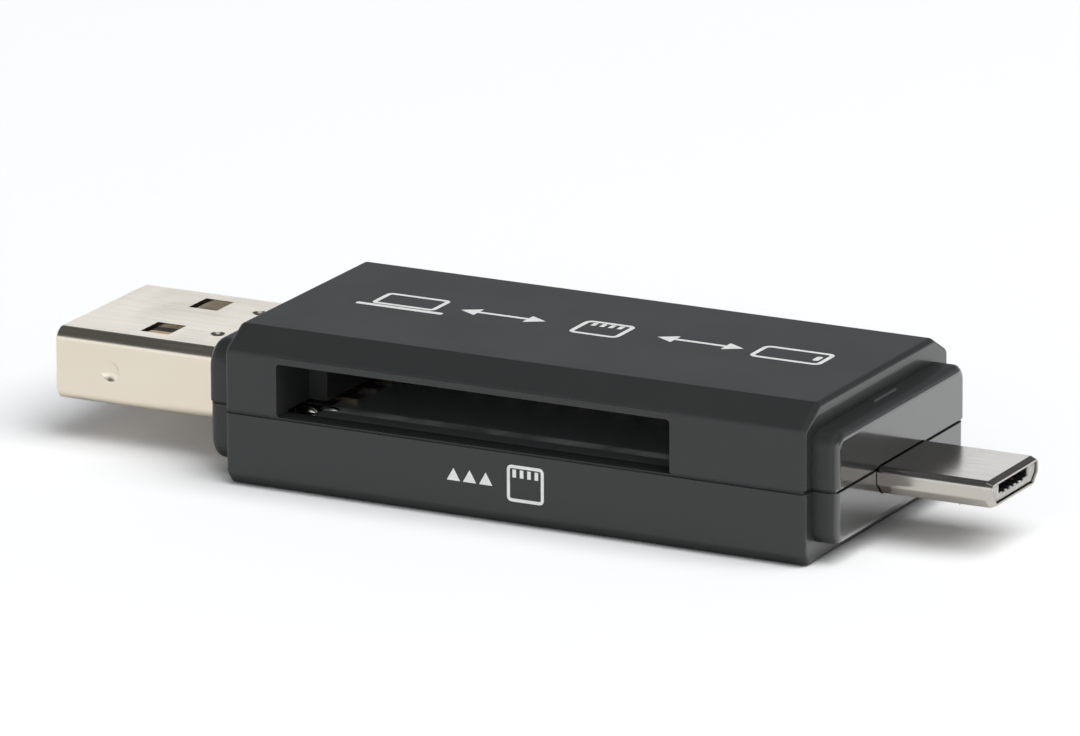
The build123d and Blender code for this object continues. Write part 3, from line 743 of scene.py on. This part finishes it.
@dataclass
class Housing:
    """The two moulded halves and the signs printed on them.

    Attributes:
        nodes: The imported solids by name.
        effects: The shared node groups.
        body_length: Length of the grained body between its end faces, in metres.
        sign_height: Height of the signs on the roof, in metres.
        line: Width of the printed lines, in metres.
        slot_left: X of the card slot's left end, in metres.
        slot_width: Width of the card slot, in metres.
        slot_top: Height of the card slot's upper edge, in metres.
        lintel: Height of the bevelled strip over the slot, in metres.
        lintel_depth: Depth of that strip's bevel, in metres.
    """

    nodes: dict[str, bpy.types.Object]
    effects: SharedEffects
    body_length: float = 39.4 * MM
    sign_height: float = 2.5 * MM
    line: float = 0.3 * MM
    slot_left: float = -16.09 * MM
    slot_width: float = 26.8 * MM
    slot_top: float = 8.1 * MM
    lintel: float = 0.42 * MM
    lintel_depth: float = 0.2 * MM

    def dress(self) -> bpy.types.Object:
        """Give both halves their plastic and the slot its lintel.

        Returns:
            The lintel.
        """
        plastic = HousingPlastic("moulded_black_plastic", self.effects, self.body_length / 2).build()
        for half in ("upper_housing", "lower_housing"):
            set_material(self.nodes[half], plastic)
        return self.fit_lintel(plastic)

    def fit_lintel(self, plastic: bpy.types.Material) -> bpy.types.Object:
        """Fit the steep bevelled strip under the edge over the card slot.

        Args:
            plastic: The housing's plastic.

        Returns:
            The strip.
        """
        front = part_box("upper_housing")[0].y
        half = self.lintel / 2
        middle = Vector((self.slot_left + self.slot_width / 2, front + half, self.slot_top + half))
        Bench.clear()
        bpy.ops.mesh.primitive_cube_add(size=1, location=middle)
        strip = bpy.context.object
        strip.name = "slot_lintel"
        bpy.ops.transform.resize(
            value=(self.slot_width, self.lintel, self.lintel), center_override=middle
        )
        bpy.ops.object.transform_apply(location=True, rotation=True, scale=True)
        bpy.ops.object.mode_set(mode="EDIT")
        bpy.ops.mesh.select_all(action="SELECT")
        bpy.ops.mesh.bisect(
            plane_co=(middle.x, front, self.slot_top + self.lintel),
            plane_no=(0, -self.lintel, -self.lintel_depth),
            use_fill=True,
            clear_outer=True,
        )
        bpy.ops.object.mode_set(mode="OBJECT")
        return Bench.settle(strip, plastic, Slot.HOUSING)

    def print_slot_sign(self, ink: bpy.types.Material) -> bpy.types.Object:
        """Print a card and three arrow tips that point up at the slot, on the front under it.

        Args:
            ink: The ink.

        Returns:
            The printed piece.
        """
        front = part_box("upper_housing")[0].y
        sign = InkPrint("slot_sign", 0.2 * MM)
        sign.start()
        card_wide, card_high, corner = 2.5 * MM, 2.3 * MM, 0.3 * MM
        pad_wide, pad_high, pad_up = 0.24 * MM, 0.5 * MM, 0.62 * MM
        point, point_up, height_on_front = 0.52 * MM, -0.1 * MM, 2.75 * MM
        sign.frame(1.0 * MM, 0.0, card_wide, card_high, corner)
        for step in range(4):
            sign.block((0.25 + 0.5 * step) * MM, pad_up, pad_wide, pad_high)
        for step in range(3):
            sign.tip((-3.9 + 1.1 * step) * MM, point_up, point, 0.0)
        return sign.lay(Vector((0.0, front, height_on_front)), math.pi / 2, ink)

    def print_roof_signs(self, ink: bpy.types.Material) -> bpy.types.Object:
        """Print what the reader joins on its roof: a computer, a card and a telephone, with arrows.

        Args:
            ink: The ink.

        Returns:
            The printed piece.
        """
        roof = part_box("upper_housing")[1].z
        high = self.sign_height
        sign = InkPrint("roof_signs", self.line)
        sign.start()
        computer, card, telephone = -13.0 * MM, 0.3 * MM, 13.2 * MM
        sign.frame(computer, 0.25 * MM, 4.4 * MM, high, 0.4 * MM)
        sign.block(computer, -1.35 * MM, 6.0 * MM, 0.4 * MM, 0.15 * MM)
        reach, point, clear = 2.1 * MM, 0.8 * MM, 0.04 * MM
        for middle in (-6.5 * MM, 7.0 * MM):
            sign.block(middle, 0.0, 2 * reach - point - clear, self.line)
            sign.tip(middle - reach, 0.0, point, math.pi / 2)
            sign.tip(middle + reach, 0.0, point, -math.pi / 2)
        sign.frame(card, 0.0, 3.4 * MM, 2.9 * MM, 0.5 * MM)
        for step in range(4):
            sign.block((-0.6 + 0.6 * step) * MM, 0.75 * MM, 0.3 * MM, 0.6 * MM)
        sign.frame(telephone, 0.0, 4.8 * MM, 2.6 * MM, 0.5 * MM)
        sign.block(14.9 * MM, 0.0, 0.4 * MM, 0.9 * MM, 0.15 * MM)
        return sign.lay(Vector((0.5 * MM, 0.6 * MM, roof)), 0.0, ink)


@dataclass
class Connectors:
    """The two plugs, the card sockets, the board and what is soldered to it.

    Attributes:
        nodes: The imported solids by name.
        effects: The shared node groups.
        chip_black: Colour of the chip and of the resistors.
        capacitor_tan: Colour of the capacitors.
        chip_body: Length of the chip's body between its rows of leads, in metres.
        bare_body: Length of a small part's body between its tinned ends, in metres.
        capacitor_pitch: Distance from one column of capacitors to the next, in metres.
        micro_bright: Colour of the clean plating on the small plug.
        micro_dim: Colour where that plating is thinner.
        micro_shine: Roughness of its smoothest and its dullest streaks.
        bead: Length, width and height of a solder bead, in metres.
        bead_foot: Height of a bead's flat foot, as a share of the bead from its middle.
        bead_spread: How far the foot has run out, as a factor.
        bead_smooth: Angle up to which a bead's faces are shaded as one, in degrees.
        solder_bright: Colour of fresh solder.
        solder_dull: Colour of the duller solder.
        bead_places: X and Z of the beads on each of the large plug's legs, in metres.
        leg_side: Distance of a leg's outer side from the middle, in metres.
    """

    nodes: dict[str, bpy.types.Object]
    effects: SharedEffects
    chip_black: Colour = (0.014, 0.014, 0.015, 1)
    capacitor_tan: Colour = (0.35, 0.25, 0.16, 1)
    chip_body: float = 3.92 * MM
    bare_body: float = 0.84 * MM
    capacitor_pitch: float = 2.4 * MM
    micro_bright: Colour = (0.56, 0.535, 0.49, 1)
    micro_dim: Colour = (0.50, 0.465, 0.41, 1)
    micro_shine: tuple[float, float] = (0.13, 0.19)
    bead: tuple[float, float, float] = (1.6 * MM, 0.5 * MM, 0.7 * MM)
    bead_foot: float = -0.4
    bead_spread: float = 1.25
    bead_smooth: float = 50.0
    solder_bright: Colour = (0.80, 0.80, 0.78, 1)
    solder_dull: Colour = (0.66, 0.66, 0.64, 1)
    bead_places: tuple[tuple[float, float], ...] = ((-16.2 * MM, 4.05 * MM), (-14.5 * MM, 4.3 * MM))
    leg_side: float = 6.0 * MM

    def family(self, start: str) -> list[bpy.types.Object]:
        """Give the solids whose names start the same way."""
        return [piece for name, piece in sorted(self.nodes.items()) if name.startswith(start)]

    def dress(self) -> None:
        """Give every piece inside and at the ends its finish."""
        steel = PlatedSteel("plug_nickel", self.effects).build()
        thin_steel = PlatedSteel(
            "micro_plug_nickel", self.effects, self.micro_bright, self.micro_dim, self.micro_shine
        ).build()
        gold = GoldPlate("contact_gold", self.effects).build()
        black = MouldedInsulator("black_insulator", self.effects).build()
        tongue = TongueFace("tongue_with_painted_shade", self.effects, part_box("micro_usb_insulator")[1].x).build()
        for start, material in (
            ("usb_a_shell", steel),
            ("micro_usb_shell", thin_steel),
            ("micro_usb_latch", thin_steel),
            ("micro_sd_shell", steel),
            ("usb_a_contact", gold),
            ("micro_usb_contact", gold),
            ("sd_contact_", gold),
            ("micro_sd_contact", gold),
            ("usb_a_insulator", black),
            ("micro_usb_insulator", tongue),
            ("sd_contact_holder", black),
            ("micro_sd_base", black),
        ):
            for piece in self.family(start):
                set_material(piece, material)

    def dress_board(self) -> None:
        """Give the board and its soldered parts their finish."""
        low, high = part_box("circuit_board")
        mask = SolderMask("green_solder_mask", self.effects, high.z, high.z - low.z, low.y).build()
        set_material(self.nodes["circuit_board"], mask)
        rows = (
            ("controller_chip", self.chip_black, 0.0, self.chip_body / 2),
            ("chip_capacitors", self.capacitor_tan, self.capacitor_pitch, self.bare_body / 2),
            ("chip_resistors", self.chip_black, 0.0, self.bare_body / 2),
        )
        for node, colour, pitch, bare_span_and_painted_strip in rows:
            part_low, part_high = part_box(node)
            first = (part_low.x + part_high.x - pitch) / 2
            spacing = pitch or 2 * (part_high.x - part_low.x)
            part = TinnedPart(node + "_body", self.effects, colour, first, spacing, bare_span_and_painted_strip)
            set_material(self.nodes[node], part.build())

    def shape_bead(self) -> bpy.types.Object:
        """Shape one solder bead: a drop with a foot that has run out, cut flat below.

        Returns:
            The bead, at the origin.
        """
        Bench.clear()
        bpy.ops.mesh.primitive_uv_sphere_add(segments=24, ring_count=12, radius=0.5)
        bead = bpy.context.object
        bpy.ops.object.mode_set(mode="EDIT")
        bpy.ops.mesh.select_mode(type="VERT")
        bpy.ops.mesh.select_all(action="DESELECT")
        bpy.ops.object.mode_set(mode="OBJECT")
        for vertex in bead.data.vertices:
            vertex.select = vertex.co.z < self.bead_foot / 2
        bpy.ops.object.mode_set(mode="EDIT")
        bpy.ops.transform.resize(value=(self.bead_spread, self.bead_spread, 1), center_override=(0, 0, 0))
        bpy.ops.mesh.select_all(action="SELECT")
        bpy.ops.mesh.bisect(
            plane_co=(0, 0, self.bead_foot), plane_no=(0, 0, -1), use_fill=True, clear_outer=True
        )
        bpy.ops.object.mode_set(mode="OBJECT")
        bpy.ops.transform.resize(value=self.bead, center_override=(0, 0, 0))
        bpy.ops.object.transform_apply(location=True, rotation=True, scale=True)
        bpy.ops.object.shade_smooth_by_angle(angle=math.radians(self.bead_smooth))
        return bead

    def solder_legs(self) -> list[bpy.types.Object]:
        """Set solder beads on the outer sides of the large plug's two legs.

        Returns:
            The beads.
        """
        solder = PlatedSteel("solder", self.effects, self.solder_bright, self.solder_dull).build()
        pattern = self.shape_bead()
        beads = []
        for side, word in ((-1, "near"), (1, "far")):
            for number, (x, z) in enumerate(self.bead_places, start=1):
                Bench.only(pattern)
                bpy.ops.object.duplicate()
                bead = bpy.context.object
                bead.name = f"solder_bead_{word}_{number}"
                bead.location = (x, side * self.leg_side, z)
                beads.append(Bench.settle(bead, solder, Slot.STEEL))
        Bench.only(pattern)
        bpy.ops.object.delete()
        return beads


def set_material(piece: bpy.types.Object, material: bpy.types.Material) -> None:
    """Give a solid one material in all its slots."""
    if not piece.material_slots:
        piece.data.materials.append(material)
    for slot in piece.material_slots:
        slot.material = material


@dataclass(frozen=True)
class Softbox:
    """A square lamp that faces the object.

    Attributes:
        name: Its name.
        place: Where its middle is, in metres.
        size: Length of its side, in metres.
        power: Its power, in watts.
        mirrored: Whether it shows in reflections.
    """

    name: str
    place: tuple[float, float, float]
    size: float
    power: float
    mirrored: bool


@dataclass
class Studio:
    """Floor, light and camera.

    Attributes:
        azimuth: How far the camera stands round from the front, in degrees.
        elevation: How far it looks down, in degrees.
        roll: How far it is turned about its own line of sight, in degrees.
        distance: Distance from its target, in metres.
        target: What is in the middle of the picture.
        focal_px: Focal length in pixels of the photograph.
        sensor: Width of the sensor, in millimetres.
        walls: Brightness of the walls.
        back_corner: Brightness of the corner at the back right.
        ceiling: Brightness of the ceiling round the softbox.
        ceiling_start: Heights, on a ball round the object, between which the walls fade into it.
        zenith: How much brighter the ceiling is straight above the object.
        zenith_start: Heights, on the same ball, between which it becomes so.
        corner_right: Places along X, on the same ball, between which the walls dim to the right.
        corner_back: Places along Y, on the same ball, between which they dim to the back.
        daylight: Colour of the room's light.
        clip: Nearest and furthest distance that the camera sees, in metres.
        floor_radius: Radius of the floor, in metres.
        floor_drop: How far the floor lies under the object, in metres.
        floor_white: Colour of the floor.
        softboxes: The lamps.
    """

    azimuth: float = 27.551
    elevation: float = 15.991
    roll: float = -0.227
    distance: float = 632.7 * MM
    target: Vector = Vector((-3.168 * MM, 0, 6.991 * MM))
    focal_px: float = 10358.6
    sensor: float = 36.0
    walls: float = 1.2
    back_corner: float = 0.28
    ceiling: float = 0.10
    ceiling_start: tuple[float, float] = (0.30, 0.42)
    zenith: float = 0.65
    zenith_start: tuple[float, float] = (0.93, 0.97)
    corner_right: tuple[float, float] = (-0.2, 0.3)
    corner_back: tuple[float, float] = (-0.1, 0.3)
    daylight: Colour = (0.97, 1.0, 1.045, 1)
    clip: tuple[float, float] = (0.01, 50.0)
    floor_radius: float = 3.0
    floor_drop: float = 0.02 * MM
    floor_white: Colour = (0.92, 0.92, 0.92, 1)
    softboxes: tuple[Softbox, ...] = (
        Softbox("top_softbox", (1.0, -0.25, 1.8), 2.0, 51.0, mirrored=False),
        Softbox("front_softbox", (0.2, -1.6, 0.9), 1.2, 2.5, mirrored=True),
    )

    def set_camera(self) -> None:
        """Stand the camera where the photograph was taken from."""
        azimuth, elevation, roll = (math.radians(a) for a in (self.azimuth, self.elevation, self.roll))
        back = Vector(
            (
                math.sin(azimuth) * math.cos(elevation),
                -math.cos(azimuth) * math.cos(elevation),
                math.sin(elevation),
            )
        )
        level = Vector((math.cos(azimuth), math.sin(azimuth), 0))
        upright = back.cross(level)
        right = level * math.cos(roll) + upright * math.sin(roll)
        up = upright * math.cos(roll) - level * math.sin(roll)
        data = bpy.data.cameras.new("photo_camera")
        data.sensor_width = self.sensor
        data.lens = self.sensor * self.focal_px / PHOTO_WIDTH_PX
        data.clip_start, data.clip_end = self.clip
        camera = bpy.data.objects.new("photo_camera", data)
        camera.matrix_world = Matrix.Translation(self.target + back * self.distance) @ Matrix(
            (right, up, back)
        ).transposed().to_4x4()
        bpy.context.scene.collection.objects.link(camera)
        bpy.context.scene.camera = camera

    def lay_floor(self) -> None:
        """Lay a wide pale floor under the object."""
        Bench.clear()
        bpy.ops.mesh.primitive_circle_add(
            vertices=96, radius=self.floor_radius, fill_type="NGON", location=(0, 0, -self.floor_drop)
        )
        floor = bpy.context.object
        floor.name = "floor"
        material = bpy.data.materials.new("white_floor")
        material.use_nodes = True
        shader = material.node_tree.nodes["Principled BSDF"]
        shader.inputs["Base Color"].default_value = self.floor_white
        shader.inputs["Roughness"].default_value = 0.9
        shader.inputs["Specular IOR Level"].default_value = 0.0
        floor.data.materials.append(material)

    def set_world(self) -> None:
        """Surround the object with pale walls, a dim corner at the back right and a dark ceiling.

        The ceiling is brighter straight above the object.
        """
        world = bpy.data.worlds.new("studio_room")
        world.use_nodes = True
        sheet = NodeSheet(world.node_tree)
        direction = sheet.axes("Generated")
        background = world.node_tree.nodes["Background"]
        sheet.feed(background, "Color", self.daylight)
        rightward = sheet.spread(direction["X"], 0.0, 1.0, *self.corner_right)
        backward = sheet.spread(direction["Y"], 0.0, 1.0, *self.corner_back)
        corner = sheet.math("MULTIPLY", rightward, backward)
        walls = sheet.spread(corner, self.walls, self.back_corner)
        overhead = sheet.spread(direction["Z"], 0.0, 1.0, *self.ceiling_start)
        dimmed = sheet.math("MULTIPLY", walls, sheet.math("SUBTRACT", 1.0, overhead))
        lit = sheet.math("MULTIPLY_ADD", overhead, self.ceiling, dimmed)
        above = sheet.spread(direction["Z"], 0.0, self.zenith, *self.zenith_start)
        sheet.feed(background, "Strength", sheet.math("ADD", lit, above))
        bpy.context.scene.world = world

    def add_softbox(self, box: Softbox) -> None:
        """Hang a softbox and turn it to the object.

        Args:
            box: The softbox.
        """
        data = bpy.data.lights.new(box.name, "AREA")
        data.size = box.size
        data.energy = box.power
        lamp = bpy.data.objects.new(box.name, data)
        lamp.location = box.place
        lamp.visible_glossy = box.mirrored
        lamp.rotation_mode = "QUATERNION"
        lamp.rotation_quaternion = (self.target - Vector(box.place)).to_track_quat("-Z", "Y")
        bpy.context.scene.collection.objects.link(lamp)

    def build(self) -> None:
        """Set up the whole studio."""
        bpy.context.scene.view_settings.view_transform = "Standard"
        self.set_camera()
        self.lay_floor()
        self.set_world()
        for box in self.softboxes:
            self.add_softbox(box)


def main() -> None:
    """Load the solids, dress them and set up the studio."""
    logging.basicConfig(level=logging.INFO)
    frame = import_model()
    effects = SharedEffects()
    ink = PrintInk("pale_print_ink", effects).build()
    housing = Housing(frame["nodes"], effects)
    for piece in (housing.dress(), housing.print_slot_sign(ink), housing.print_roof_signs(ink)):
        log.info("made %s", piece.name)
    connectors = Connectors(frame["nodes"], effects)
    connectors.dress()
    connectors.dress_board()
    for piece in connectors.solder_legs():
        log.info("made %s", piece.name)
    Studio().build()


if __name__ == "__main__":
    main()
